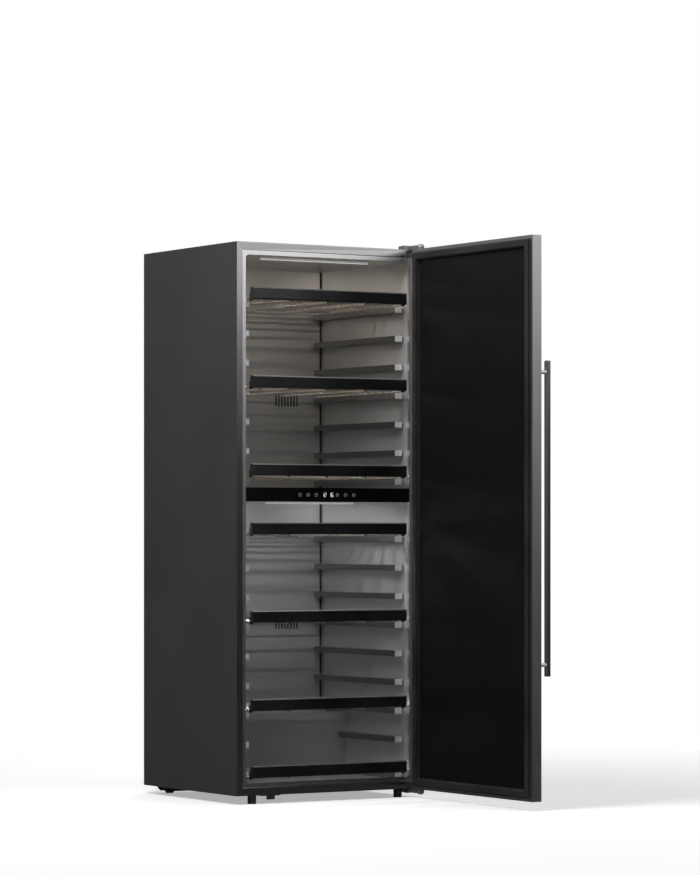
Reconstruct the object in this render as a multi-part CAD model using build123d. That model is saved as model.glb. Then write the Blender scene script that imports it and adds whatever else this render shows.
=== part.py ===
from build123d import *
import os
from math import floor

# Tall free-standing wine cooler with two zones and its door open at a right angle, in millimetres.
# X runs to the right, the front faces -Y and Z is up.
# The pieces are built round the cabinet's middle, and moved to the middle of the whole footprint at the end.

# Cabinet
width = 700
body_depth = 625
body_height = 1790
foot_height = 28
sheet = 1.2
liner_sheet = 2
edge_round = 1.5

# Walls, from the outer face to the inside of the liner
side_wall = 36
ceiling_wall = 41
floor_wall = 32
rear_wall = 59
duct_depth = 24
duct_side_gap = 6

# Front frame and the trim round the opening
frame_side = 23
frame_end = 26
frame_depth = 14
trim_end = 15
trim_setback = 1.5
trim_corner = 12

# Step in the liner over the compressor
step_depth = 159
step_height = 208
step_wall = 32

# Zones
upper_zone = 752
divider_height = 46
panel_setback = 4
panel_depth = 24
display_width = 232
display_height = 30
display_glass = 1.5
lamp_height = 6
lamp_depth = 10
upper_lamp_length = 412
lower_lamp_length = 338
upper_lamp_inset = 88
lower_lamp_inset = 118

# Runners and shelves
runner_pitch = 95.2
upper_drop = 148.3
lower_drop = 112.1
levels_per_shelf = 3
runner_height = 19.3
runner_depth = 34
runner_wall_gap = 5
runner_gauge = 1.5
runner_setback = 39
runner_back_gap = 10
rail_size = 6
rail_inset = 20
rail_clear = 0.3
rail_back_gap = 22
sill_clear = 10.4
strip_height = 39
strip_thick = 16
strip_forward = 12
strip_side_gap = 17
strip_lift = 5.3
strip_chamfer = 3.5
lug_width = 10
lug_thick = 6
lug_height = 25
wire_pitch = 40
wire_size = 5
wire_setback = 24
wire_sink = 1
spine_count = 3

# Vents and circulation fans in the back of the liner
vent_x = 175
vent_slots = 8
slot_pitch = 12
slot_width = 6
slot_height = 40
upper_vent_drop = 445
middle_vent_drop = 96
lower_vent_drop = 411
fan_size = 92
fan_depth = 15
fan_bore = 84
fan_hub = 32
fan_blades = 7
fan_blade_thick = 2
fan_blade_root = 8
fan_end_gap = 0.3
fan_strut = 4
fan_pitch_deg = 38
fan_shaft = 5
run_clear = 0.05
tip_clear = 3
evaporator_thick = 8
evaporator_width = 300
evaporator_height = 240
evaporator_x = -110

# Hinges
pin_inset = 15
pin_forward = 34
pin_size = 8
pin_reach = 24
pin_head = 16
pin_head_thick = 3
bush_size = 14
hinge_thick = 14
hinge_nose = 12
top_hinge_plate = 46
bottom_hinge_plate = 34
hinge_margin = 5
hinge_plate_depth = 42
door_end_gap = 1

# Door, closed against the cabinet and then swung open
door_gap = 10
door_thick = 34
door_band = 36
door_wall = 2
band_inset = 11
band_width = 25
band_thick = 5
gasket_inset = 2.5
gasket_clear = 0.8
outer_pane = 5
inner_pane = 4
outer_pane_setback = 1
inner_pane_setback = 6
pane_clear = 0.25
spacer_width = 14
open_angle = 90

# Handle
handle_length = 1000
handle_size = 20
handle_standoff = 36
handle_inset = 19
post_size = 14
post_end = 37

# Base
foot_size = 28
foot_inset = 70
foot_setback = 22
foot_stem = 10
foot_stem_reach = 20
foot_gap = 0.2
foot_pocket = 13
beam_inset = 45
beam_depth = 60
beam_setback = 14
beam_gauge = 2
beam_ground = 8
beam_slope = 10
roller_size = 24
roller_width = 22
roller_inset = 30
roller_axle = 6
roller_side_gap = 0.4
catch_gap = 14
catch_width = 68
catch_depth = 32
catch_setback = 6
catch_gauge = 3
catch_tongue = 30
catch_drop = 15

# Machine compartment
cover_setback = 5
cover_slots = 18
cover_slot_pitch = 22
cover_slot_width = 5
cover_slot_height = 90
cover_slot_lift = 60
compressor_x = 130
compressor_size = 130
compressor_height = 165
compressor_dome = 40
compressor_plate = 3
compressor_base = 150
mount_size = 22
mount_height = 14
mount_spread = 56
condenser_x = -160
condenser_fins = 16
condenser_fin = 1
condenser_pitch = 9
condenser_depth = 100
condenser_height = 140
condenser_tube = 8
tube_columns = 2
tube_rows = 3
inlet_side = 100
inlet_lift = 110
inlet_width = 50
inlet_height = 28
inlet_depth = 20
inlet_flange = 2
inlet_socket = 4
inlet_pin = 4
inlet_pin_spread = 10
screw_head = 9
screw_height = 2.5
screw_slot = 1.2
screw_margin = 12

# Planes that the pieces share
half = width / 2
front = -body_depth / 2
back = body_depth / 2
bottom = foot_height
top = bottom + body_height
inner = half - side_wall
ceiling = top - ceiling_wall
floor_z = bottom + floor_wall
sill = bottom + frame_end + trim_end
liner_front = front + frame_depth
liner_back = back - rear_wall
duct_back = liner_back + liner_sheet + duct_depth
step_front = liner_back - step_depth
step_top = floor_z + step_height
bay_front = step_front + step_wall
bay_top = step_top - step_wall
divider_top = ceiling - upper_zone
divider_bottom = divider_top - divider_height
pin_x = half - pin_inset
pin_y = front - pin_forward
door_inner = front - door_gap
door_outer = door_inner - door_thick
door_bottom = bottom + door_end_gap
door_top = top - door_end_gap

nodes = {}


def block(x0, x1, y0, y1, z0, z1):
    """A box between two corners."""
    centre = Pos((x0 + x1) / 2, (y0 + y1) / 2, (z0 + z1) / 2)
    return centre * Box(x1 - x0, y1 - y0, z1 - z0)


def rod(axis, x, y, z, size, length):
    """A round bar that starts at a point and runs along +X, +Y or +Z."""
    turn = {"X": Rot(0, 90, 0), "Y": Rot(-90, 0, 0), "Z": Rot(0, 0, 0)}[axis]
    upright = Cylinder(size / 2, length, align=(Align.CENTER, Align.CENTER, Align.MIN))
    return Pos(x, y, z) * turn * upright


def group(pieces):
    """Separate solids that share a node."""
    return Compound([solid for piece in pieces for solid in piece.solids()])


def mitred(x0, x1, z0, z1, band_x, band_z, y0, y1):
    """The four members of an upright frame, cut along its corners' diagonals."""
    outer = [(x0, z0), (x1, z0), (x1, z1), (x0, z1)]
    inside = [
        (x0 + band_x, z0 + band_z),
        (x1 - band_x, z0 + band_z),
        (x1 - band_x, z1 - band_z),
        (x0 + band_x, z1 - band_z),
    ]
    members = []
    for i in range(4):
        j = (i + 1) % 4
        outline = [outer[i], outer[j], inside[j], inside[i]]
        edge = Polyline(*[(x, y1, z) for x, z in outline], close=True)
        members.append(extrude(make_face(edge), y1 - y0, dir=(0, -1, 0)))
    return members


def upright_ring(x0, x1, z0, z1, band_x, band_z, y0, y1, corner):
    """One ring in an upright plane, with round corners in its opening."""
    opening = RectangleRounded(x1 - x0 - 2 * band_x, z1 - z0 - 2 * band_z, corner)
    place = Plane((0, y1, (z0 + z1) / 2), x_dir=(1, 0, 0), z_dir=(0, -1, 0))
    return extrude(place * (Rectangle(x1 - x0, z1 - z0) - opening), y1 - y0)


def cabinet_shell():
    nodes["side_panel_left"] = block(-half, -half + sheet, front, back, bottom, top)
    nodes["side_panel_right"] = block(half - sheet, half, front, back, bottom, top)
    x = half - sheet
    nodes["top_panel"] = block(-x, x, front, back, top - sheet, top)
    pan = block(-x, x, front, back, bottom, bottom + sheet)
    for side in (-1, 1):
        foot_x = side * (half - foot_inset)
        pan -= rod("Z", foot_x, front + foot_setback, bottom, foot_stem, sheet)
    nodes["base_pan"] = pan
    nodes["back_panel"] = block(-x, x, back - sheet, back, bay_top, top - sheet)
    rim = (-x, x, bottom + sheet, top - sheet)
    nodes["front_frame"] = group(mitred(*rim, frame_side - sheet, frame_end - sheet, front, liner_front))
    x = half - frame_side
    low, high = bottom + frame_end, top - frame_end
    bands = (side_wall - frame_side, trim_end)
    trim_front = front + trim_setback
    nodes["opening_trim"] = upright_ring(-x, x, low, high, *bands, trim_front, liner_front, trim_corner)


def vent(z):
    """The row of upright slots whose middle is at a height."""
    first = vent_x - (vent_slots - 1) * slot_pitch / 2
    slots = []
    for i in range(vent_slots):
        x = first + i * slot_pitch
        slot = (x - slot_width / 2, x + slot_width / 2, liner_back, liner_back + liner_sheet)
        slots.append(block(*slot, z - slot_height / 2, z + slot_height / 2))
    return slots


upper_vent = ceiling - upper_vent_drop
middle_vent = divider_bottom - middle_vent_drop
lower_vent = divider_bottom - lower_vent_drop


def liner():
    rear = liner_back + liner_sheet
    edge = inner + liner_sheet
    low, high = floor_z - liner_sheet, ceiling + liner_sheet
    nodes["liner_left"] = block(-edge, -inner, liner_front, rear, low, high)
    nodes["liner_right"] = block(inner, edge, liner_front, rear, low, high)
    nodes["liner_ceiling"] = block(-inner, inner, liner_front, rear, ceiling, high)
    nodes["liner_floor"] = block(-inner, inner, liner_front, step_front, low, floor_z)
    plate_x = inner - duct_side_gap
    plate = block(-plate_x, plate_x, liner_back, rear, step_top, ceiling)
    nodes["liner_back"] = plate - vent(upper_vent) - vent(middle_vent) - vent(lower_vent)
    wall = block(-inner, inner, step_front, step_front + liner_sheet, low, step_top)
    nodes["liner_step"] = wall + block(-inner, inner, step_front, rear, step_top - liner_sheet, step_top)


def insulation():
    """Foam in the walls, with pockets where the feet screw in."""
    edge = inner + liner_sheet
    skin = half - sheet
    low, high = bottom + sheet, top - sheet
    rear = back - sheet
    step_foam_top = step_top - liner_sheet
    left = block(-skin, -edge, liner_front, rear, low, high)
    right = block(edge, skin, liner_front, rear, low, high)
    roof = block(-edge, edge, liner_front, rear, ceiling + liner_sheet, high)
    base = block(-edge, edge, liner_front, step_front, low, floor_z - liner_sheet)
    step = block(-inner, inner, step_front + liner_sheet, bay_front, low, step_foam_top)
    shelf = block(-inner, inner, bay_front, rear, bay_top, step_foam_top)
    rear_slab = block(-edge, edge, duct_back, rear, step_foam_top, ceiling + liner_sheet)
    for side in (-1, 1):
        foot_x = side * (half - foot_inset)
        base -= rod("Z", foot_x, front + foot_setback, low, foot_pocket, floor_wall - liner_sheet - sheet)
    nodes["insulation"] = group([left, right, roof, base, step, shelf, rear_slab])


def middle():
    """Zone divider, control panel and lamps."""
    panel_front = front + panel_setback
    panel_back = panel_front + panel_depth
    x = inner - pane_clear
    nodes["zone_divider"] = block(-inner, inner, panel_back, liner_back, divider_bottom, divider_top)
    panel = block(-x, x, panel_front, panel_back, divider_bottom, divider_top)
    z = (divider_bottom + divider_top) / 2
    recess = (-display_width / 2, display_width / 2, panel_front, panel_front + display_glass)
    window = block(*recess, z - display_height / 2, z + display_height / 2)
    nodes["control_panel"] = panel - window
    nodes["display_window"] = window
    lamps = []
    for length, inset, z in (
        (upper_lamp_length, upper_lamp_inset, ceiling),
        (lower_lamp_length, lower_lamp_inset, divider_bottom),
    ):
        y = front + inset
        lamps.append(block(-length / 2, length / 2, y, y + lamp_depth, z - lamp_height, z))
    nodes["lamp_strips"] = group(lamps)


def runner_levels(highest, lowest):
    """Heights of the runners in one zone, from the top down."""
    count = floor((highest - lowest) / runner_pitch) + 1
    return [highest - i * runner_pitch for i in range(count)]


upper_levels = runner_levels(ceiling - upper_drop, divider_top + runner_height)
bottom_level = sill + sill_clear
bottom_strip_top = bottom_level + strip_lift + strip_height
lower_levels = runner_levels(divider_bottom - lower_drop, bottom_strip_top + runner_height)
shelf_levels = upper_levels[::levels_per_shelf] + lower_levels[::levels_per_shelf] + [bottom_level]
strip_back = front - strip_forward + strip_thick


def depth_limit(z):
    """The wall behind a runner: the step in front of the compressor, or the back of the liner."""
    return step_front if z - runner_height < step_top else liner_back


def runner(side, z):
    """A folded ledge on one side wall, closed at its front, with its top at a height."""
    low = max(z - runner_height, floor_z)
    y0, y1 = front + runner_setback, depth_limit(z) - runner_back_gap
    edge = inner - runner_depth
    face = inner - runner_wall_gap
    top_plate = block(edge, inner, y0, y1, z - runner_gauge, z)
    web = block(edge, edge + runner_gauge, y0, y1, low, z)
    end = block(edge, face, y0, y0 + runner_gauge, low, z)
    ledge = top_plate + web + end
    return ledge if side > 0 else mirror(ledge, Plane.YZ)


def runners():
    levels = upper_levels + lower_levels + [bottom_level]
    nodes["shelf_runners"] = group([runner(side, z) for z in levels for side in (-1, 1)])


def rack(limit):
    """Rails and spines with wires welded across them, standing on runners whose top is at zero."""
    rail_x = inner - rail_inset
    y0, y1 = strip_back + lug_thick, limit - rail_back_gap
    rail_z = rail_clear + rail_size / 2
    rods = []
    for i in range(spine_count + 2):
        x = -rail_x + i * 2 * rail_x / (spine_count + 1)
        rods.append(rod("Y", x, y0, rail_z, rail_size, y1 - y0))
    wire_z = rail_z + (rail_size + wire_size) / 2 - wire_sink
    first, last = front + wire_setback, y1 - wire_size
    wires = max(1, round((last - first) / wire_pitch))
    for i in range(wires + 1):
        y = first + i * (last - first) / wires
        rods.append(rod("X", -rail_x - rail_size / 2, y, wire_z, wire_size, 2 * rail_x + rail_size))
    return Part() + rods


def shelf_strip(z):
    """The black strip along a shelf's front edge, with lugs behind it where the rails end."""
    x = inner - strip_side_gap
    low = z + strip_lift
    bar = block(-x, x, front - strip_forward, strip_back, low, low + strip_height)
    bar = chamfer(bar.faces().sort_by(Axis.Y)[0].edges(), strip_chamfer)
    rail_x = inner - rail_inset
    for side in (-1, 1):
        lug_x = side * min(rail_x, x - lug_width / 2)
        lug = (lug_x - lug_width / 2, lug_x + lug_width / 2, strip_back, strip_back + lug_thick)
        bar += block(*lug, z + rail_clear, z + lug_height)
    return bar


def shelves():
    racks = {limit: rack(limit) for limit in {depth_limit(z) for z in shelf_levels}}
    for number, z in enumerate(shelf_levels, 1):
        nodes[f"shelf_{number}_strip"] = shelf_strip(z)
        nodes[f"shelf_{number}_rack"] = Pos(0, 0, z) * racks[depth_limit(z)]


def fan_frame(z):
    """A square frame behind a vent, with struts that hold the shaft in its bore."""
    y0 = liner_back + liner_sheet
    y1 = y0 + fan_depth
    reach = fan_size / 2
    frame = block(vent_x - reach, vent_x + reach, y0, y1, z - reach, z + reach)
    frame -= rod("Y", vent_x, y0, z, fan_bore, fan_depth)
    bar = fan_strut / 2
    level = block(vent_x - reach, vent_x + reach, y1 - fan_strut, y1, z - bar, z + bar)
    upright = block(vent_x - bar, vent_x + bar, y1 - fan_strut, y1, z - reach, z + reach)
    shaft = rod("Y", vent_x, y0 + fan_strut, z, fan_shaft, fan_depth - fan_strut)
    return frame + level + upright + shaft


def fan_rotor(z):
    """Hub and blades on the shaft of a fan frame."""
    y0 = liner_back + liner_sheet + run_clear + fan_strut / 2
    y1 = liner_back + liner_sheet + fan_depth - fan_strut - fan_end_gap
    hub = rod("Y", vent_x, y0, z, fan_hub, y1 - y0)
    reach = fan_bore / 2 - tip_clear
    deep = y1 - y0 - fan_blade_thick
    blades = []
    for i in range(fan_blades):
        blade = Rot(90 - fan_pitch_deg, 0, 0) * Box(reach - fan_blade_root, fan_blade_thick, deep)
        blade = Pos((reach + fan_blade_root) / 2, 0, 0) * blade
        blades.append(Pos(vent_x, (y0 + y1) / 2, z) * Rot(0, i * 360 / fan_blades, 0) * blade)
    bore_start = liner_back + liner_sheet + fan_strut - run_clear
    bore = rod("Y", vent_x, bore_start, z, fan_shaft + 2 * run_clear, fan_depth)
    return hub + blades - bore


def evaporator(z):
    """A cold plate on the foam, in the duct behind the liner."""
    x0, x1 = evaporator_x - evaporator_width / 2, evaporator_x + evaporator_width / 2
    z0, z1 = z - evaporator_height / 2, z + evaporator_height / 2
    return block(x0, x1, duct_back - evaporator_thick, duct_back, z0, z1)


def cooling():
    nodes["fan_frames"] = group([fan_frame(upper_vent), fan_frame(lower_vent)])
    nodes["upper_fan"] = fan_rotor(upper_vent)
    nodes["lower_fan"] = fan_rotor(lower_vent)
    nodes["evaporators"] = group([evaporator(upper_vent), evaporator(lower_vent)])


def hinge_bracket(z0, plate_width):
    """A plate on the cabinet with an arm that reaches forward to the pin."""
    z1 = z0 + hinge_thick
    x1 = half - hinge_margin
    plate_back = front + hinge_margin + hinge_plate_depth
    plate = block(x1 - plate_width, x1, front + hinge_margin, plate_back, z0, z1)
    arm = block(pin_x - hinge_nose, x1, pin_y, front + hinge_margin, z0, z1)
    nose = rod("Z", pin_x, pin_y, z0, 2 * hinge_nose, hinge_thick)
    hole = rod("Z", pin_x, pin_y, z0, pin_size + 2 * run_clear, hinge_thick)
    return plate + arm + nose - hole


def hinges():
    upper_bracket = hinge_bracket(top, top_hinge_plate)
    lower_bracket = hinge_bracket(bottom - hinge_thick, bottom_hinge_plate)
    nodes["hinge_brackets"] = group([upper_bracket, lower_bracket])
    length = pin_head_thick + hinge_thick + door_end_gap + pin_reach
    high, low = top + hinge_thick, bottom - hinge_thick
    upper = rod("Z", pin_x, pin_y, high + pin_head_thick - length, pin_size, length)
    upper += rod("Z", pin_x, pin_y, high, pin_head, pin_head_thick)
    lower = rod("Z", pin_x, pin_y, low - pin_head_thick, pin_size, length)
    lower += rod("Z", pin_x, pin_y, low - pin_head_thick, pin_head, pin_head_thick)
    nodes["hinge_pins"] = group([upper, lower])


def swing(piece):
    """A door piece turned from closed to open about the hinge pins."""
    return piece.rotate(Axis((pin_x, pin_y, 0), (0, 0, 1)), open_angle)


def hinge_wells(size):
    """Holes for a round piece at both hinge ends of the door."""
    reach = pin_reach + run_clear
    return [
        rod("Z", pin_x, pin_y, door_bottom, size, reach),
        rod("Z", pin_x, pin_y, door_top - reach, size, reach),
    ]


def hollow_frame():
    """Steel door frame of box section, with bosses in its hinge corners for the bushes."""
    outer = mitred(-half, half, door_bottom, door_top, door_band, door_band, door_outer, door_inner)
    bore_x = half - door_wall
    bore_z = (door_bottom + door_wall, door_top - door_wall)
    thin = door_band - 2 * door_wall
    cores = mitred(-bore_x, bore_x, *bore_z, thin, thin, door_outer + door_wall, door_inner - door_wall)
    x0 = pin_x - bush_size / 2 - door_wall
    y0, y1 = door_outer + door_wall, door_inner - door_wall
    low = block(x0, bore_x, y0, y1, door_bottom + door_wall, door_bottom + door_band - door_wall)
    high = block(x0, bore_x, y0, y1, door_top - door_band + door_wall, door_top - door_wall)
    corners = [[low], [low, high], [high], []]
    members = []
    for member, core, bosses in zip(outer, cores, corners):
        hollow = member - core
        for boss in bosses:
            hollow += member & boss
        members.append(hollow - hinge_wells(bush_size))
    return members


def door():
    nodes["door_frame"] = group([swing(member) for member in hollow_frame()])
    ring = half - band_inset
    low, high = door_bottom + band_inset, door_top - band_inset
    band_top = door_inner + band_thick
    band = mitred(-ring, ring, low, high, band_width, band_width, door_inner, band_top)
    nodes["door_inner_frame"] = swing(group(band))
    ring -= gasket_inset
    low += gasket_inset
    high -= gasket_inset
    seal = band_width - 2 * gasket_inset
    gasket = mitred(-ring, ring, low, high, seal, seal, band_top, front - gasket_clear)
    nodes["door_gasket"] = swing(Part() + gasket)
    x = half - door_band - pane_clear
    z0, z1 = door_bottom + door_band + pane_clear, door_top - door_band - pane_clear
    outer_face = door_outer + outer_pane_setback
    inner_face = door_inner - inner_pane_setback
    nodes["door_outer_pane"] = swing(block(-x, x, outer_face, outer_face + outer_pane, z0, z1))
    nodes["door_inner_pane"] = swing(block(-x, x, inner_face - inner_pane, inner_face, z0, z1))
    glass_gap = (outer_face + outer_pane, inner_face - inner_pane)
    spacer = mitred(-x, x, z0, z1, spacer_width, spacer_width, *glass_gap)
    nodes["door_spacer"] = swing(Part() + spacer)
    sleeves = []
    for well, bore in zip(hinge_wells(bush_size), hinge_wells(pin_size + 2 * run_clear)):
        sleeves.append(swing(well - bore))
    nodes["hinge_bushes"] = group(sleeves)


def handle():
    """Round bar on two posts, beside the door's free edge."""
    x = -half + handle_inset
    y = door_outer - handle_standoff
    z = (door_bottom + door_top - handle_length) / 2
    bar = rod("Z", x, y, z, handle_size, handle_length)
    nodes["handle_bar"] = swing(fillet(bar.edges().filter_by(GeomType.CIRCLE), edge_round))
    posts = []
    for post_z in (z + post_end, z + handle_length - post_end):
        post = rod("Y", x, y, post_z, post_size, handle_standoff)
        posts.append(swing(post - rod("Z", x, y, z, handle_size, handle_length)))
    nodes["handle_posts"] = group(posts)


def feet():
    for side, name in ((-1, "front_foot_left"), (1, "front_foot_right")):
        x, y = side * (half - foot_inset), front + foot_setback
        stem = foot_stem - 2 * run_clear
        pad = rod("Z", x, y, 0, foot_size, foot_height - foot_gap)
        pad = fillet(pad.edges().filter_by(GeomType.CIRCLE), edge_round)
        nodes[name] = pad + rod("Z", x, y, foot_height / 2, stem, foot_height / 2 + foot_stem_reach)


def roller_beam():
    """Folded beam under the back edge, with cheeks for the rollers."""
    x = half - beam_inset
    y1 = back - beam_setback
    y0 = y1 - beam_depth
    edge = [(-x, beam_ground + beam_slope), (-x + beam_slope, beam_ground), (x - beam_slope, beam_ground)]
    edge += [(x, beam_ground + beam_slope), (x, bottom), (-x, bottom)]
    outline = Polyline(*[(px, y1, pz) for px, pz in edge], close=True)
    beam = extrude(make_face(outline), beam_depth, dir=(0, -1, 0))
    beam -= block(-half, half, y0 + beam_gauge, y1 - beam_gauge, 0, bottom - beam_gauge)
    axle_y, axle_z = (y0 + y1) / 2, roller_size / 2
    for side in (-1, 1):
        for cheek in (-1, 1):
            inside = side * (x - roller_inset) + cheek * (roller_width / 2 + roller_side_gap)
            outside = inside + cheek * beam_gauge
            faces = (min(inside, outside), max(inside, outside), y0 + beam_gauge, y1 - beam_gauge)
            beam += block(*faces, beam_ground, bottom - beam_gauge)
    beam -= rod("X", -half, axle_y, axle_z, roller_axle, width)
    return beam


def base():
    feet()
    nodes["roller_beam"] = roller_beam()
    y = back - beam_setback - beam_depth / 2
    reach = roller_width / 2 + roller_side_gap + beam_gauge
    for side, name in ((-1, "rear_roller_left"), (1, "rear_roller_right")):
        x = side * (half - beam_inset - roller_inset)
        axle = rod("X", x - reach, y, roller_size / 2, roller_axle - 2 * run_clear, 2 * reach)
        nodes[name] = axle + rod("X", x - roller_width / 2, y, roller_size / 2, roller_size, roller_width)
    y = front + catch_setback
    x0 = -half + foot_inset + foot_size / 2 + catch_gap
    plate = block(x0, x0 + catch_width, y, y + catch_depth, bottom - catch_gauge, bottom)
    middle_x = x0 + catch_width / 2
    tongue_x = (middle_x - catch_tongue / 2, middle_x + catch_tongue / 2)
    nodes["door_catch"] = plate + block(*tongue_x, y, y + catch_gauge, bottom - catch_drop, bottom)


def rear_cover():
    """Slotted cover over the compressor, with the power inlet through it."""
    y1 = back - cover_setback
    cover = block(-inner, inner, y1 - sheet, y1, bottom + sheet, bay_top)
    first = -(cover_slots - 1) * cover_slot_pitch / 2
    for i in range(cover_slots):
        slot_x = first + i * cover_slot_pitch
        z0 = bottom + cover_slot_lift
        slot = (slot_x - cover_slot_width / 2, slot_x + cover_slot_width / 2, y1 - sheet, y1)
        cover -= block(*slot, z0, z0 + cover_slot_height)
    z = bottom + inlet_lift
    inlet_x = -half + inlet_side
    x0, x1 = inlet_x - inlet_width / 2, inlet_x + inlet_width / 2
    z0, z1 = z - inlet_height / 2, z + inlet_height / 2
    neck = (x0 + inlet_socket, x1 - inlet_socket, y1 - inlet_depth, y1)
    body = block(*neck, z0 + inlet_socket, z1 - inlet_socket)
    nodes["rear_cover"] = cover - body
    flange = block(x0, x1, y1, y1 + inlet_flange, z0, z1)
    wall = inlet_socket + inlet_flange
    socket = (x0 + wall, x1 - wall, y1 - inlet_depth + inlet_flange, y1 + inlet_flange)
    inlet = body + flange - block(*socket, z0 + wall, z1 - wall)
    for i in (-1, 0, 1):
        pin_at = inlet_x + i * inlet_pin_spread
        inlet += rod("Y", pin_at, y1 - inlet_depth, z, inlet_pin, inlet_depth)
    nodes["power_inlet"] = inlet


def compressor():
    """Domed can on a plate, standing on rubber mounts on the base pan."""
    y = (bay_front + back - cover_setback - sheet) / 2
    floor_top = bottom + sheet
    plate_z = floor_top + mount_height
    reach = compressor_base / 2
    footprint = (compressor_x - reach, compressor_x + reach, y - reach, y + reach)
    plate = block(*footprint, plate_z, plate_z + compressor_plate)
    can = rod("Z", compressor_x, y, plate_z, compressor_size, compressor_height)
    can = fillet(can.edges().group_by(Axis.Z)[-1], compressor_dome)
    nodes["compressor"] = plate + can
    mounts = []
    for dx in (-mount_spread, mount_spread):
        for dy in (-mount_spread, mount_spread):
            mounts.append(rod("Z", compressor_x + dx, y + dy, floor_top, mount_size, mount_height))
    nodes["compressor_mounts"] = group(mounts)


def condenser():
    """Stack of fins on tubes, standing on the base pan."""
    y0 = bay_front + condenser_tube
    z0 = bottom + sheet
    length = (condenser_fins - 1) * condenser_pitch
    first = condenser_x - length / 2
    fins = []
    for i in range(condenser_fins):
        x = first + i * condenser_pitch
        fins.append(block(x, x + condenser_fin, y0, y0 + condenser_depth, z0, z0 + condenser_height))
    tube_length = length + 2 * condenser_tube
    tubes = []
    for column in range(tube_columns):
        y = y0 + (column + 0.5) * condenser_depth / tube_columns
        for row in range(tube_rows):
            z = z0 + (row + 1) * condenser_height / (tube_rows + 1)
            tubes.append(rod("X", first - condenser_tube, y, z, condenser_tube, tube_length))
    nodes["condenser"] = Part() + fins + tubes


def screw(x, y, z, axis):
    """A slotted screw head that sits on a face and points along +Z, -Z or +Y."""
    head = Cylinder(screw_head / 2, screw_height, align=(Align.CENTER, Align.CENTER, Align.MIN))
    slot = Pos(0, 0, screw_height) * Box(screw_head, screw_slot, screw_height)
    turn = {"+Z": Rot(0, 0, 0), "-Z": Rot(180, 0, 0), "+Y": Rot(-90, 0, 0)}[axis]
    return Pos(x, y, z) * turn * (head - slot)


def screws():
    heads = []
    hinge_y = front + hinge_margin + hinge_plate_depth - screw_margin
    for i in (0, 1):
        x = half - hinge_margin - screw_margin
        upper_x = x - i * (top_hinge_plate - 2 * screw_margin)
        lower_x = x - i * (bottom_hinge_plate - 2 * screw_margin)
        heads.append(screw(upper_x, hinge_y, top + hinge_thick, "+Z"))
        heads.append(screw(lower_x, hinge_y, bottom - hinge_thick, "-Z"))
    side = half - sheet - screw_margin
    for x in (-side, 0, side):
        heads.append(screw(x, back, top - sheet - screw_margin, "+Y"))
        heads.append(screw(x, back, bay_top + screw_margin, "+Y"))
    side = inner - screw_margin
    for x in (-side, side):
        heads.append(screw(x, back - cover_setback, bottom + sheet + screw_margin, "+Y"))
        heads.append(screw(x, back - cover_setback, bay_top - screw_margin, "+Y"))
    nodes["screws"] = group(heads)


cabinet_shell()
liner()
insulation()
middle()
runners()
shelves()
cooling()
hinges()
door()
handle()
base()
rear_cover()
compressor()
condenser()
screws()

boxes = [shape.bounding_box() for shape in nodes.values()]
middle_x = (min(box.min.X for box in boxes) + max(box.max.X for box in boxes)) / 2
middle_y = (min(box.min.Y for box in boxes) + max(box.max.Y for box in boxes)) / 2
to_origin = Location((-middle_x, -middle_y, 0))

os.makedirs("parts", exist_ok=True)
for name, shape in nodes.items():
    export_step(shape.moved(to_origin), f"parts/{name}.step")
print("cabinet's middle at", round(-middle_x, 2), round(-middle_y, 2))
print(len(nodes), "nodes", "shelves at", [round(z, 1) for z in shelf_levels])
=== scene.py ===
import math

import bpy
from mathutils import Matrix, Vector


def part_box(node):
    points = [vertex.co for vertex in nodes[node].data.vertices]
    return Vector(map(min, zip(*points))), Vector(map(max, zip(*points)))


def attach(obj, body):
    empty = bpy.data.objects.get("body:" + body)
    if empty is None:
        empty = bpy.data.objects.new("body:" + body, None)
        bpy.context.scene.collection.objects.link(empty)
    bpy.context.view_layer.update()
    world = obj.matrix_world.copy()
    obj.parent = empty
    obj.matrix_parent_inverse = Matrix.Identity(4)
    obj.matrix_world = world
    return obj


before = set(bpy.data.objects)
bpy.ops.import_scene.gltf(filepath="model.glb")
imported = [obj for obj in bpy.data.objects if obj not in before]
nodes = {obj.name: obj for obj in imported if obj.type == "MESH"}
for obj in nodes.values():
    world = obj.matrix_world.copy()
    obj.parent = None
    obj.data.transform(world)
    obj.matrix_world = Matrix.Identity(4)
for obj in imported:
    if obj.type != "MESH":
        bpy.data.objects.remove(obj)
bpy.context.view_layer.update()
MM = 0.001

# The cabinet's middle at floor level, which the lights and the camera are placed from
left_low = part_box("side_panel_left")[0]
right_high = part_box("side_panel_right")[1]
MIDDLE = Vector(((left_low.x + right_high.x) / 2, (left_low.y + right_high.y) / 2, 0))

# The camera's line of sight, level and to the right of straight ahead
LINE_OF_SIGHT = Vector((0.52725, 0.84971, 0))

# Two tones for each surface, in linear RGB
PAINT = ((0.042, 0.042, 0.045), (0.046, 0.046, 0.049))
DARK_STEEL = ((0.43, 0.415, 0.43), (0.48, 0.465, 0.48))
TRIM_STEEL = ((0.76, 0.75, 0.755), (0.83, 0.82, 0.825))
BRIGHT_STEEL = ((0.6, 0.59, 0.58), (0.74, 0.73, 0.72))
LINER = ((0.57, 0.568, 0.566), (0.6, 0.598, 0.596))
WIRE = ((0.8, 0.76, 0.7), (0.66, 0.62, 0.57))
# Grey of the cast hinge metal, also used as painted shade on the runners' faces other than their fronts
CAST_GREY_AND_RUNNER_SHADE = ((0.21, 0.21, 0.215), (0.3, 0.3, 0.305))
GLOSS_BLACK = ((0.006, 0.006, 0.0065), (0.014, 0.014, 0.015))
GLASS_BLACK = ((0.004, 0.004, 0.0045), (0.005, 0.005, 0.0055))
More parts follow.
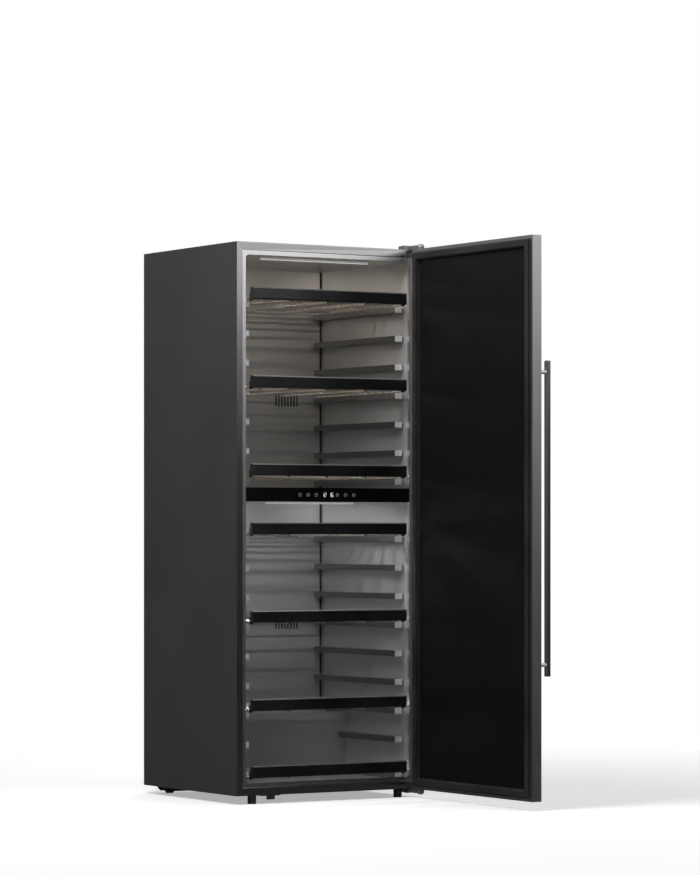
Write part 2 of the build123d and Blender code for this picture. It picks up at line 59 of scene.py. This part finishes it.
# Black of the plastic parts, also used as painted shade on the foam faces in the gaps behind the liner
BLACK_PLASTIC_AND_SHADE = ((0.012, 0.012, 0.0125), (0.024, 0.024, 0.025))
RUBBER = ((0.009, 0.009, 0.009), (0.02, 0.02, 0.0205))
BLACK_METAL = ((0.013, 0.013, 0.0135), (0.04, 0.04, 0.04))
FOAM = ((0.62, 0.54, 0.36), (0.5, 0.42, 0.27))
ALUMINIUM = ((0.62, 0.62, 0.63), (0.72, 0.72, 0.73))
# Painted highlight: a lighter grey for the strips' top and right chamfers, where light catches them
STRIP_EDGE_HIGHLIGHT = ((0.1, 0.1, 0.1), (0.13, 0.13, 0.13))
CAP = ((0.8, 0.8, 0.8), (0.86, 0.86, 0.86))
BUSH = ((0.7, 0.7, 0.68), (0.58, 0.58, 0.56))

# Single colours, in linear RGB
WHITE = (1, 1, 1)
WARM_LAMP = (1.0, 0.91, 0.78)
COOL_LAMP = (1.0, 0.99, 0.98)
LENS = (0.85, 0.84, 0.8)
SYMBOL = (0.82, 0.9, 1.0)
DIM_SYMBOL = (0.2, 0.21, 0.22)
FLOOR = (0.86, 0.86, 0.86)

# The parts of the noise's range that tones and numbers are spread over
TONE_RANGE = (0.35, 0.65)
NUMBER_RANGE = (0.3, 0.7)

# Brushed lines and the smudges over them
BRUSH_ACROSS = 2600.0
BRUSH_ALONG = 6.0
BRUSH_DETAIL = 3.0
BRUSH_STRENGTH = 0.12
BRUSH_DEPTH = 0.01 * MM
SMUDGE_SCALE = 5.0
SMUDGE_DETAIL = 5.0
SMUDGE_ROUGH = (-0.015, 0.02)

# Fine grain, broad tone changes and frosting
GRAIN_DETAIL = 2.0
GRAIN_STRENGTH = 0.3
CLOUD_SCALE = 4.0
CLOUD_DETAIL = 6.0
FROST_SCALE = 60.0
FROST_DETAIL = 3.0
FROST_SHADE = 0.94
FROST_ROUGH = (0.35, 0.5)


def near(x, y, z):
    """A point given from the cabinet's middle, in metres."""
    return MIDDLE + Vector((x, y, z))


def feed(tree, value, socket):
    """Gives a socket a plain number, or links it to another node's output."""
    if isinstance(value, (int, float)):
        socket.default_value = value
    else:
        tree.links.new(value, socket)


def math_node(tree, operation, first, second):
    """Two values added, multiplied or compared."""
    made = tree.nodes.new("ShaderNodeMath")
    made.operation = operation
    feed(tree, first, made.inputs[0])
    feed(tree, second, made.inputs[1])
    return made.outputs["Value"]


def spread(tree, value, results, inputs=NUMBER_RANGE):
    """A value mapped from one range of numbers to another."""
    ranged = tree.nodes.new("ShaderNodeMapRange")
    ranged.inputs["From Min"].default_value = inputs[0]
    ranged.inputs["From Max"].default_value = inputs[1]
    ranged.inputs["To Min"].default_value = results[0]
    ranged.inputs["To Max"].default_value = results[1]
    tree.links.new(value, ranged.inputs["Value"])
    return ranged.outputs["Result"]


def ramp(tree, value, stops):
    """A value mapped to a colour, from (position, colour) pairs."""
    made = tree.nodes.new("ShaderNodeValToRGB")
    elements = made.color_ramp.elements
    while len(elements) < len(stops):
        elements.new(0.5)
    for element, (position, colour) in zip(elements, stops):
        element.position = position
        element.color = (*colour, 1)
    tree.links.new(value, made.inputs["Fac"])
    return made.outputs["Color"]


def two_tone(tree, value, tones):
    """A noise value mapped to a colour between two tones."""
    return ramp(tree, value, list(zip(TONE_RANGE, tones)))


def grey_levels(tree, value, levels):
    """A value mapped to a grey, from (position, level) pairs."""
    return ramp(tree, value, [(position, (level, level, level)) for position, level in levels])


def stretched(tree, place, scale):
    """Coordinates scaled by a different amount along each axis."""
    mapping = tree.nodes.new("ShaderNodeMapping")
    mapping.inputs["Scale"].default_value = scale
    tree.links.new(place, mapping.inputs["Vector"])
    return mapping.outputs["Vector"]


def noise(tree, place, scale, detail):
    """A noise value at each place."""
    texture = tree.nodes.new("ShaderNodeTexNoise")
    texture.inputs["Scale"].default_value = scale
    texture.inputs["Detail"].default_value = detail
    tree.links.new(place, texture.inputs["Vector"])
    return texture.outputs["Fac"]


def relief(tree, height, strength, depth):
    """A surface normal that follows a height."""
    bump = tree.nodes.new("ShaderNodeBump")
    bump.inputs["Strength"].default_value = strength
    bump.inputs["Distance"].default_value = depth
    tree.links.new(height, bump.inputs["Height"])
    return bump.outputs["Normal"]


def material(name):
    """A new material, with its nodes, its Principled shader and the object's coordinates."""
    made = bpy.data.materials.new(name)
    made.use_nodes = True
    tree = made.node_tree
    place = tree.nodes.new("ShaderNodeTexCoord").outputs["Object"]
    return made, tree, tree.nodes["Principled BSDF"], place


def brushed(name, tones, along, rough, metallic=1.0):
    """Metal brushed along one axis, with faint smudges over the lines."""
    made, tree, shader, place = material(name)
    scale = [BRUSH_ACROSS] * 3
    scale["XYZ".index(along)] = BRUSH_ALONG
    lines = noise(tree, stretched(tree, place, scale), 1.0, BRUSH_DETAIL)
    smudge = noise(tree, place, SMUDGE_SCALE, SMUDGE_DETAIL)
    roughness = math_node(tree, "ADD", spread(tree, lines, rough), spread(tree, smudge, SMUDGE_ROUGH))
    shader.inputs["Metallic"].default_value = metallic
    tree.links.new(two_tone(tree, lines, tones), shader.inputs["Base Color"])
    tree.links.new(roughness, shader.inputs["Roughness"])
    tree.links.new(relief(tree, lines, BRUSH_STRENGTH, BRUSH_DEPTH), shader.inputs["Normal"])
    return made


def coated(name, tones, rough, grain, depth, metallic=0.0, specular=0.5, coat=0.0):
    """Any other surface: a fine grain of some depth, broad tone changes and uneven roughness."""
    made, tree, shader, place = material(name)
    fine = noise(tree, place, grain, GRAIN_DETAIL)
    cloud = noise(tree, place, CLOUD_SCALE, CLOUD_DETAIL)
    shader.inputs["Metallic"].default_value = metallic
    shader.inputs["Specular IOR Level"].default_value = specular
    shader.inputs["Coat Weight"].default_value = coat
    tree.links.new(two_tone(tree, cloud, tones), shader.inputs["Base Color"])
    tree.links.new(spread(tree, cloud, rough), shader.inputs["Roughness"])
    tree.links.new(relief(tree, fine, GRAIN_STRENGTH, depth), shader.inputs["Normal"])
    return made


def glowing(name, base, light, strength):
    """A frosted lens or a lit symbol."""
    made, tree, shader, place = material(name)
    frost = noise(tree, place, FROST_SCALE, FROST_DETAIL)
    tones = (tuple(FROST_SHADE * channel for channel in base), base)
    tree.links.new(two_tone(tree, frost, tones), shader.inputs["Base Color"])
    tree.links.new(spread(tree, frost, FROST_ROUGH), shader.inputs["Roughness"])
    shader.inputs["Emission Color"].default_value = (*light, 1)
    shader.inputs["Emission Strength"].default_value = strength
    return made


# Brushed metals
FRAME_ROUGH = (0.15, 0.21)
DOOR_ROUGH = (0.32, 0.42)
TRIM_ROUGH = (0.2, 0.3)
frame_steel_x = brushed("frame_steel_x", DARK_STEEL, "X", FRAME_ROUGH)
frame_steel_z = brushed("frame_steel_z", DARK_STEEL, "Z", FRAME_ROUGH)
door_steel_y = brushed("door_steel_y", DARK_STEEL, "Y", DOOR_ROUGH)
door_steel_z = brushed("door_steel_z", DARK_STEEL, "Z", DOOR_ROUGH)
trim_x = brushed("trim_steel_x", TRIM_STEEL, "X", TRIM_ROUGH)
trim_z = brushed("trim_steel", TRIM_STEEL, "Z", TRIM_ROUGH)
liner = brushed("liner_metal", LINER, "Z", rough=(0.28, 0.31), metallic=0.6)
handle_steel = brushed("handle_steel", BRIGHT_STEEL, "Z", rough=(0.12, 0.2))
# Painted shade: a darker grey on the runners' faces other than their front ends
runner_shade = brushed("runner_shade", CAST_GREY_AND_RUNNER_SHADE, "Y", rough=(0.3, 0.4))
fin = brushed("fin_aluminium", ALUMINIUM, "Z", rough=(0.3, 0.42))

# Plain metals
runner_cap = coated("runner_steel", CAP, rough=(0.4, 0.5), grain=1400, depth=0.02 * MM, metallic=0.35)
post_steel = coated("post_steel", CAP, rough=(0.3, 0.4), grain=1400, depth=0.02 * MM, metallic=0.5)
# Painted highlight on the strips' top and right chamfers
edge_highlight = coated("strip_edge_highlight", STRIP_EDGE_HIGHLIGHT, rough=(0.5, 0.58), grain=1400, depth=0.02 * MM, metallic=0.25)
wire = coated("rack_wire", WIRE, rough=(0.2, 0.32), grain=700, depth=0.02 * MM, metallic=1.0)
screw = coated("bright_steel", BRIGHT_STEEL, rough=(0.22, 0.36), grain=800, depth=0.03 * MM, metallic=1.0)
cast = coated("hinge_metal", CAST_GREY_AND_RUNNER_SHADE, rough=(0.3, 0.45), grain=1200, depth=0.08 * MM, metallic=0.6)
black_metal = coated("black_metal", BLACK_METAL, rough=(0.35, 0.5), grain=1000, depth=0.06 * MM)
shell = coated("compressor_shell", BLACK_METAL, rough=(0.3, 0.42), grain=700, depth=0.1 * MM)

# Paint, glass, plastics, rubber and foam
paint = coated("case_paint", PAINT, rough=(0.42, 0.5), grain=900, depth=0.06 * MM, specular=0.22)
gloss = coated("gloss_black", GLOSS_BLACK, rough=(0.22, 0.28), grain=300, depth=0.01 * MM, coat=0.1)
glass = coated("dark_glass", GLASS_BLACK, rough=(0.36, 0.4), grain=60, depth=0.002 * MM, specular=0.17)
outer_glass = coated("outer_glass", GLASS_BLACK, rough=(0.05, 0.09), grain=40, depth=0.002 * MM, specular=0.4)
panel = coated("panel_black", GLASS_BLACK, rough=(0.14, 0.2), grain=300, depth=0.004 * MM, specular=0.15)
plastic_and_shade = coated("black_plastic", BLACK_PLASTIC_AND_SHADE, rough=(0.45, 0.6), grain=1600, depth=0.1 * MM)
rubber = coated("seal_rubber", RUBBER, rough=(0.5, 0.68), grain=1100, depth=0.06 * MM, specular=0.35)
foam = coated("foam", FOAM, rough=(0.8, 0.95), grain=400, depth=0.6 * MM, specular=0.2)
bush = coated("bush_plastic", BUSH, rough=(0.4, 0.55), grain=900, depth=0.04 * MM)

# Lamp lenses and display symbols
lens = glowing("lamp_lens", LENS, light=COOL_LAMP, strength=1.0)
lens_side = glowing("lamp_lens_side", LENS, light=COOL_LAMP, strength=0.14)
symbol = glowing("lit_symbol", SYMBOL, light=SYMBOL, strength=0.9)
dim_symbol = glowing("dim_symbol", DIM_SYMBOL, light=SYMBOL, strength=0.16)

# The main finish of each piece
strips = [name for name in nodes if name.endswith("_strip")]
racks = [name for name in nodes if name.endswith("_rack")]
liner_walls = [name for name in nodes if name.startswith("liner_")]
finishes = [
    (paint, ["side_panel_left", "side_panel_right", "top_panel", "back_panel", "base_pan", "rear_cover"]),
    (frame_steel_z, ["front_frame"]),
    (trim_z, ["opening_trim"]),
    (foam, ["insulation"]),
    (liner, ["zone_divider", *liner_walls]),
    (panel, ["control_panel", "display_window"]),
    (lens, ["lamp_strips"]),
    (runner_cap, ["shelf_runners"]),
    (gloss, strips),
    (wire, racks),
    (cast, ["hinge_brackets"]),
    (screw, ["hinge_pins", "screws"]),
    (bush, ["hinge_bushes"]),
    (door_steel_z, ["door_frame"]),
    (outer_glass, ["door_outer_pane"]),
    (glass, ["door_inner_pane"]),
    (rubber, ["door_gasket", "compressor_mounts"]),
    (handle_steel, ["handle_bar"]),
    (post_steel, ["handle_posts"]),
    (black_metal, ["roller_beam", "door_catch"]),
    (shell, ["compressor"]),
    (fin, ["condenser", "evaporators"]),
    (plastic_and_shade, ["door_inner_frame", "door_spacer", "fan_frames", "upper_fan", "lower_fan", "power_inlet"]),
    (plastic_and_shade, ["front_foot_left", "front_foot_right", "rear_roller_left", "rear_roller_right"]),
]
for look, names in finishes:
    for name in names:
        nodes[name].data.materials.clear()
        nodes[name].data.materials.append(look)

# Bevel widths in millimetres, so that edges and mitres catch the light
SHEET_BEVEL = 0.3
BEVELS = {
    "front_frame": 1.1,
    "opening_trim": 0.5,
    "hinge_brackets": 1.2,
    "control_panel": 0.8,
    "lamp_strips": 1.0,
    "door_inner_frame": 0.9,
    "door_gasket": 1.6,
    "handle_posts": 0.4,
    "power_inlet": 0.6,
    "rear_roller_left": 1.0,
    "rear_roller_right": 1.0,
    "screws": 0.35,
    "side_panel_left": SHEET_BEVEL,
    "side_panel_right": SHEET_BEVEL,
    "top_panel": SHEET_BEVEL,
    "back_panel": SHEET_BEVEL,
    "base_pan": SHEET_BEVEL,
    "rear_cover": SHEET_BEVEL,
    "shelf_runners": SHEET_BEVEL,
}
BEVEL_SEGMENTS = 2
BEVEL_ANGLE = math.radians(40)
WELD_DISTANCE = 0.01 * MM
for name, width in BEVELS.items():
    weld = nodes[name].modifiers.new("weld", "WELD")
    weld.merge_threshold = WELD_DISTANCE
    bevel = nodes[name].modifiers.new("bevel", "BEVEL")
    bevel.width = width * MM
    bevel.segments = BEVEL_SEGMENTS
    bevel.limit_method = "ANGLE"
    bevel.angle_limit = BEVEL_ANGLE
    bevel.harden_normals = True


def finish_faces(name, look, chosen):
    """Gives another finish to the faces of a piece that a test on centre and normal picks."""
    mesh = nodes[name].data
    mesh.materials.append(look)
    for face in mesh.polygons:
        if chosen(face.center, face.normal):
            face.material_index = len(mesh.materials) - 1


def level_members(name, axis, upright_width, level_width):
    """A test for the level members of an upright mitred frame."""
    low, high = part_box(name)

    def chosen(centre, normal):
        across = min(centre[axis] - low[axis], high[axis] - centre[axis]) / upright_width
        return min(centre.z - low.z, high.z - centre.z) / level_width < across

    return chosen


# How squarely a face has to point one way, how far a slanted one leans, and when one points inwards
FACING = 0.9
SLANTED = 0.3
INWARDS = 0.3 * MM


def highlighted_strip_edges(centre, normal):
    """A test for the slanted edges along a strip's top and right, which get a painted highlight."""
    return normal.y < -SLANTED and max(normal.z, normal.x) > SLANTED


def foam_in_painted_shade(centre, normal):
    """A test for the faces of the foam that point to the front or the cabinet's middle, which get black as
    painted shade.
    """
    return normal.y < -FACING or (centre.x - MIDDLE.x) * normal.x < -INWARDS


# Widths of frame members, in metres
FRAME_UPRIGHT = 21.8 * MM
FRAME_LEVEL = 24.8 * MM
DOOR_MEMBER = 36 * MM
TRIM_MEMBER = 10 * MM

# Second finishes on some faces of a piece, among them painted highlight and painted shade
finish_faces("front_frame", frame_steel_x, level_members("front_frame", 0, FRAME_UPRIGHT, FRAME_LEVEL))
finish_faces("door_frame", door_steel_y, level_members("door_frame", 1, DOOR_MEMBER, DOOR_MEMBER))
finish_faces("opening_trim", trim_x, level_members("opening_trim", 0, TRIM_MEMBER, TRIM_MEMBER))
# Painted shade: the runners' faces other than their front ends are darker grey than the steel caps, standing
# in for the shade along their sides
finish_faces("shelf_runners", runner_shade, lambda centre, normal: normal.y > -FACING)
finish_faces("lamp_strips", lens_side, lambda centre, normal: normal.z > -FACING)
# Painted shade: foam faces that point to the front or the middle are black, standing in for the shade in the
# gaps behind the liner
finish_faces("insulation", plastic_and_shade, foam_in_painted_shade)
finish_faces("insulation", paint, lambda centre, normal: normal.y > FACING)
# Painted highlight: the top and right chamfers of each strip are a lighter grey than the gloss black
for name in strips:
    finish_faces(name, edge_highlight, highlighted_strip_edges)

# Sizes of the symbols on the panel's touch surface, in metres
SYMBOL_RISE = 0.3 * MM
SYMBOL_SINK = 0.1 * MM
RING_RADIUS = 5.6 * MM
RING_SIDES = 40
LINE = 0.9 * MM
GLYPH = 4.6 * MM
FIGURE_HEIGHT = 13 * MM
FIGURE_WIDTH = 6.4 * MM
FIGURE_LINE = 1.5 * MM
FIGURE_PITCH = 9 * MM
UPRIGHT_CUT = 1.8 * MM

# Keys and figures across the panel, in millimetres from the display window's middle
KEYS = [(-108.5, "power"), (-78, "plus"), (-47, "minus"), (34.5, "plus"), (65.6, "minus"), (97.5, "lamp")]
FIGURES = [(-16.6, "12"), (10, "16")]

# Bars in each key's glyph, as height above the middle, width and height
GLYPHS = {
    "power": [(0, LINE, GLYPH)],
    "minus": [(0, GLYPH, LINE)],
    "plus": [(0, GLYPH, LINE), (-GLYPH / 3, LINE, GLYPH / 3), (GLYPH / 3, LINE, GLYPH / 3)],
    "lamp": [(0, GLYPH / 2, GLYPH / 2)],
}
SEGMENTS = {"1": "bc", "2": "abged", "6": "afgedc"}
window_low, window_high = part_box("display_window")
window_mid = (window_low + window_high) / 2


def bar(x, z, width, height):
    """A rectangular plate, as one outline."""
    left, right = x - width / 2, x + width / 2
    low, high = z - height / 2, z + height / 2
    return [[(left, low), (right, low), (right, high), (left, high)]]


def ring(x):
    """A round plate with a hole, as an outer and an inner outline."""
    turns = [2 * math.pi * i / RING_SIDES for i in range(RING_SIDES)]
    radii = (RING_RADIUS, RING_RADIUS - LINE)
    return [[(x + radius * math.cos(turn), radius * math.sin(turn)) for turn in turns] for radius in radii]


def figure(x, digit):
    """One seven-segment figure, with small gaps where segments meet."""
    side = FIGURE_WIDTH / 2
    top = FIGURE_HEIGHT / 2
    level = (FIGURE_WIDTH - 2 * FIGURE_LINE, FIGURE_LINE)
    upright = (FIGURE_LINE, top - UPRIGHT_CUT)
    bars = {
        "a": (0, top, level),
        "b": (side, top / 2, upright),
        "c": (side, -top / 2, upright),
        "d": (0, -top, level),
        "e": (-side, -top / 2, upright),
        "f": (-side, top / 2, upright),
        "g": (0, 0, level),
    }
    lit = [bars[segment] for segment in SEGMENTS[digit]]
    return [bar(x + across, z, *size) for across, z, size in lit]


def plate_mesh(plates):
    """Vertices and faces of thin plates that stand out of the window a little."""
    vertices = []
    faces = []
    for outlines in plates:
        front = len(vertices)
        count = len(outlines[0])
        back = front + count
        for outline in outlines:
            for y in (window_low.y - SYMBOL_RISE, window_low.y + SYMBOL_SINK):
                vertices += [(window_mid.x + x, y, window_mid.z + z) for x, z in outline]
        pairs = [(i, (i + 1) % count) for i in range(count)]
        faces += [(front + i, back + i, back + j, front + j) for i, j in pairs]
        if len(outlines) == 1:
            faces.append(tuple(front + i for i in range(count)))
            faces.append(tuple(back + i for i in reversed(range(count))))
        else:
            hole_front = back + count
            hole_back = hole_front + count
            faces += [(hole_front + j, hole_back + j, hole_back + i, hole_front + i) for i, j in pairs]
            faces += [(front + i, front + j, hole_front + j, hole_front + i) for i, j in pairs]
            faces += [(back + j, back + i, hole_back + i, hole_back + j) for i, j in pairs]
    return vertices, faces


def lit_piece(name, look, plates):
    """A piece made of plates that rides on the cabinet."""
    vertices, faces = plate_mesh(plates)
    mesh = bpy.data.meshes.new(name)
    mesh.from_pydata(vertices, [], faces)
    mesh.materials.append(look)
    made = bpy.data.objects.new(name, mesh)
    bpy.context.scene.collection.objects.link(made)
    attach(made, "cabinet")


# Rings and glyphs of the keys, and the two zones' figures
key_plates = []
for x, glyph in KEYS:
    key_plates.append(ring(x * MM))
    key_plates += [bar(x * MM, z, width, height) for z, width, height in GLYPHS[glyph]]
lit_piece("display_keys", dim_symbol, key_plates)
figure_plates = []
for x, (tens, units) in FIGURES:
    figure_plates += figure(x * MM - FIGURE_PITCH / 2, tens)
    figure_plates += figure(x * MM + FIGURE_PITCH / 2, units)
lit_piece("display_figures", symbol, figure_plates)


def stage_mesh(name, corners):
    """A four-cornered sheet for the studio, with the nodes of its empty material."""
    mesh = bpy.data.meshes.new(name)
    mesh.from_pydata([tuple(corner) for corner in corners], [], [(0, 1, 2, 3)])
    made = bpy.data.objects.new(name, mesh)
    bpy.context.scene.collection.objects.link(made)
    look = bpy.data.materials.new(name)
    look.use_nodes = True
    look.node_tree.nodes.clear()
    mesh.materials.append(look)
    return made, look.node_tree


def emission(tree, strength):
    """A white glow."""
    made = tree.nodes.new("ShaderNodeEmission")
    feed(tree, strength, made.inputs["Strength"])
    return made.outputs["Emission"]


def mixed_shader(tree, factor, first, second):
    """The first shader where the factor is zero, and the second where it is one."""
    made = tree.nodes.new("ShaderNodeMixShader")
    tree.links.new(factor, made.inputs[0])
    tree.links.new(first, made.inputs[1])
    tree.links.new(second, made.inputs[2])
    return made.outputs["Shader"]


def mixed_value(tree, factor, first, second):
    """The first value where the factor is zero, and the second where it is one."""
    made = tree.nodes.new("ShaderNodeMix")
    tree.links.new(factor, made.inputs["Factor"])
    feed(tree, first, made.inputs["A"])
    feed(tree, second, made.inputs["B"])
    return made.outputs["Result"]


def ray_kinds(tree):
    """One for rays that show the background as it is, and one for rays that reflect it."""
    path = tree.nodes.new("ShaderNodeLightPath")
    plain = math_node(tree, "MAXIMUM", path.outputs["Is Camera Ray"], path.outputs["Is Transmission Ray"])
    return plain, path.outputs["Is Glossy Ray"]


def surface_point(tree):
    """The place of a point on a surface."""
    return tree.nodes.new("ShaderNodeNewGeometry").outputs["Position"]


def upward(tree, vector):
    """The upward part of a place or a direction."""
    parts = tree.nodes.new("ShaderNodeSeparateXYZ")
    tree.links.new(vector, parts.inputs["Vector"])
    return parts.outputs["Z"]


def show(tree, shader):
    """Makes a shader a material's surface."""
    tree.links.new(shader, tree.nodes.new("ShaderNodeOutputMaterial").inputs["Surface"])


# A pale floor that keeps the shadow near the object and fades to plain white further out
FLOOR_REACH = 60.0
FLOOR_LIFT = 0.4
FLOOR_IN_REFLECTIONS = 0.035
FADE_MIDDLE = near(0, -0.3, 0)
FADE_RANGE = (1.2, 3.2)


def add_floor():
    """The floor, lifted a little and faded to white only where it is seen directly."""
    corners = [near(FLOOR_REACH * x, FLOOR_REACH * y, 0) for x, y in ((-1, -1), (1, -1), (1, 1), (-1, 1))]
    floor, tree = stage_mesh("floor", corners)
    plain, reflected = ray_kinds(tree)
    away = tree.nodes.new("ShaderNodeVectorMath")
    away.operation = "DISTANCE"
    away.inputs[1].default_value = FADE_MIDDLE
    tree.links.new(surface_point(tree), away.inputs[0])
    fade = math_node(tree, "MULTIPLY", spread(tree, away.outputs["Value"], (0, 1), FADE_RANGE), plain)
    matt = tree.nodes.new("ShaderNodeBsdfDiffuse")
    matt.inputs["Color"].default_value = (*FLOOR, 1)
    lifted = tree.nodes.new("ShaderNodeAddShader")
    tree.links.new(matt.outputs["BSDF"], lifted.inputs[0])
    tree.links.new(emission(tree, math_node(tree, "MULTIPLY", plain, FLOOR_LIFT)), lifted.inputs[1])
    faded = mixed_shader(tree, fade, lifted.outputs["Shader"], emission(tree, 1.0))
    show(tree, mixed_shader(tree, reflected, faded, emission(tree, FLOOR_IN_REFLECTIONS)))


# White behind the object and soft light all round, with reflections dark low down and light above
SKY_LIGHT = 0.07
SKY_REFLECTED = [(0.0, 0.02), (0.49, 0.05), (0.54, 0.14), (0.62, 0.5), (0.75, 0.95), (1.0, 0.8)]


def add_sky():
    """The world, which looks different directly, in reflections and as a light."""
    world = bpy.data.worlds.new("studio")
    bpy.context.scene.world = world
    world.use_nodes = True
    tree = world.node_tree
    plain, reflected = ray_kinds(tree)
    direction = tree.nodes.new("ShaderNodeTexCoord").outputs["Generated"]
    height = spread(tree, upward(tree, direction), (0, 1), (-1, 1))
    level = mixed_value(tree, reflected, SKY_LIGHT, grey_levels(tree, height, SKY_REFLECTED))
    background = tree.nodes["Background"]
    background.inputs["Color"].default_value = (*WHITE, 1)
    tree.links.new(mixed_value(tree, plain, level, 1.0), background.inputs["Strength"])


# A board in front on the right that only reflections show, light at the top and dark at the bottom
BOARD_MIDDLE = Vector((2.0, -3.7))
BOARD_HALF = 2.6
BOARD_TOP = 3.5
BOARD_LEVELS = [(0.0, 0.02), (0.26, 0.035), (0.4, 0.04), (0.48, 0.15), (0.57, 0.75), (0.7, 1.3)]


def add_board():
    """The board, square to the line of sight that the cabinet's front reflects."""
    along = BOARD_HALF * Vector((LINE_OF_SIGHT.y, LINE_OF_SIGHT.x))
    left = BOARD_MIDDLE - along
    right = BOARD_MIDDLE + along
    corners = [near(*left, 0), near(*right, 0), near(*right, BOARD_TOP), near(*left, BOARD_TOP)]
    board, tree = stage_mesh("board", corners)
    board.visible_camera = False
    board.visible_diffuse = False
    board.visible_transmission = False
    board.visible_shadow = False
    height = spread(tree, upward(tree, surface_point(tree)), (0, 1), (0, BOARD_TOP))
    show(tree, emission(tree, grey_levels(tree, height, BOARD_LEVELS)))


def lamp(name, place, target, size, watts, colour=WHITE):
    """An area light aimed at a point."""
    data = bpy.data.lights.new(name, "AREA")
    data.size = size
    data.energy = watts
    data.color = colour
    made = bpy.data.objects.new(name, data)
    made.location = place
    made.rotation_euler = (target - place).to_track_quat("-Z", "Y").to_euler()
    bpy.context.scene.collection.objects.link(made)
    return data


# The studio round the object
add_floor()
add_sky()
add_board()
lamp("key", near(-1.8, -1.1, 3.4), near(-0.3, -0.1, 1.3), size=1.3, watts=84)
lamp("fill", near(2.6, -4.2, 4.0), near(0.1, -0.5, 1.0), size=3.0, watts=90)
lamp("back", near(1.6, 3.4, 3.2), near(0, 0.3, 0.9), size=2.6, watts=70)

# Each lamp strip lights its own zone, from just under the strip and a little backwards
UPPER_DROP = 9 * MM
LOWER_DROP = 5 * MM
ZONE_LENGTH = 0.36
ZONE_WIDTH = 0.02
ZONE_FORWARD = 0.2
ZONE_AIM_FORWARD = 0.02
ZONE_AIM_DOWN = 0.8
strips_low, strips_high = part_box("lamp_strips")
zones = [
    ("upper_zone", strips_high.z - UPPER_DROP, 1.0, WARM_LAMP),
    ("lower_zone", strips_low.z - LOWER_DROP, 1.6, COOL_LAMP),
]
for name, height, watts, colour in zones:
    place = near(0, -ZONE_FORWARD, height)
    target = near(0, -ZONE_AIM_FORWARD, height - ZONE_AIM_DOWN)
    zone_lamp = lamp(name, place, target, ZONE_LENGTH, watts, colour)
    zone_lamp.shape = "RECTANGLE"
    zone_lamp.size_y = ZONE_WIDTH

# Camera at the photograph's angle, with the image taken to be 700 by 875
camera_data = bpy.data.cameras.new("camera")
camera_data.sensor_width = 36.0
camera_data.lens = 145.5
camera_data.shift_y = 0.1113
camera_data.clip_end = 200.0
camera = bpy.data.objects.new("camera", camera_data)
camera.location = near(-6.048, -10.189, 0.871)
camera.rotation_euler = LINE_OF_SIGHT.to_track_quat("-Z", "Y").to_euler()
bpy.context.scene.collection.objects.link(camera)
bpy.context.scene.camera = camera
bpy.context.scene.view_settings.view_transform = "Standard"
